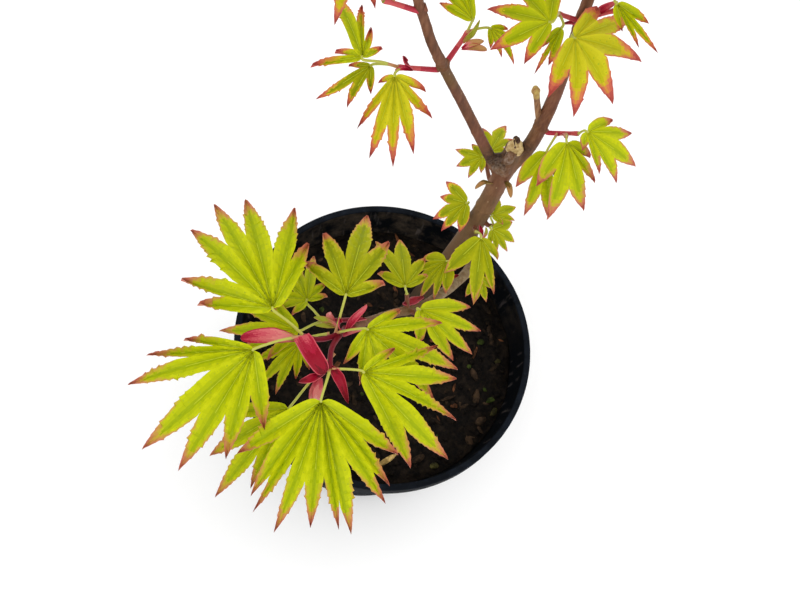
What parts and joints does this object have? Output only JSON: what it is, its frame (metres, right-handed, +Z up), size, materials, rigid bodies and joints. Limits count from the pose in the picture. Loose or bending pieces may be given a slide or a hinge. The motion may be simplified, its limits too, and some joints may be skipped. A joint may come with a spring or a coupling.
{
  "type": "potted japanese maple",
  "caption": "Young Japanese maple with a leaning trunk, upright leaders, a low side branch and yellow-green lobed leaves, growing in a round black nursery pot.",
  "frame": {"origin": "centre of the pot's flat underside", "axes": "+Z up, +X to the right of the plant's front and +Y to its back"},
  "size_m": [0.2621, 0.3045, 0.6117],
  "materials": {
    "pot_plastic": "moulded, faintly satin",
    "potting_mix": "damp peat with bark chips",
    "bark": "smooth young bark",
    "foliage": "thin matt leaves with pink margins"
  },
  "bodies": {
    "root": {"pot": "pot_plastic", "soil": "potting_mix", "trunk": "bark", "leader_left": "bark", "leader_right": "bark", "low_branch": "bark", "stub_twig": "bark", "leaves_low_tip": "foliage", "leaves_low_front": "foliage", "leaves_low_back": "foliage", "leaves_mid_back": "foliage", "leaves_mid_front": "foliage", "leaves_near_back": "foliage", "leaves_near_front": "foliage", "leaves_trunk_front": "foliage", "leaves_trunk_left": "foliage", "leaves_trunk_right": "foliage", "leaves_fork_back": "foliage", "leaves_right_side": "foliage", "leaves_right_front": "foliage", "leaves_right_left": "foliage", "leaves_right_outer": "foliage", "leaves_left_side": "foliage", "leaves_left_inner": "foliage", "leaves_left_hang": "foliage", "leaves_left_1a": "foliage", "leaves_left_2a": "foliage", "leaves_left_2b": "foliage", "leaves_left_3a": "foliage", "leaves_left_3b": "foliage", "leaves_left_top": "foliage", "leaves_right_1a": "foliage", "leaves_right_1b": "foliage", "leaves_right_2a": "foliage", "leaves_right_2b": "foliage", "leaves_right_3a": "foliage", "leaves_right_3b": "foliage", "leaves_right_top": "foliage"}
  },
  "joints": []
}
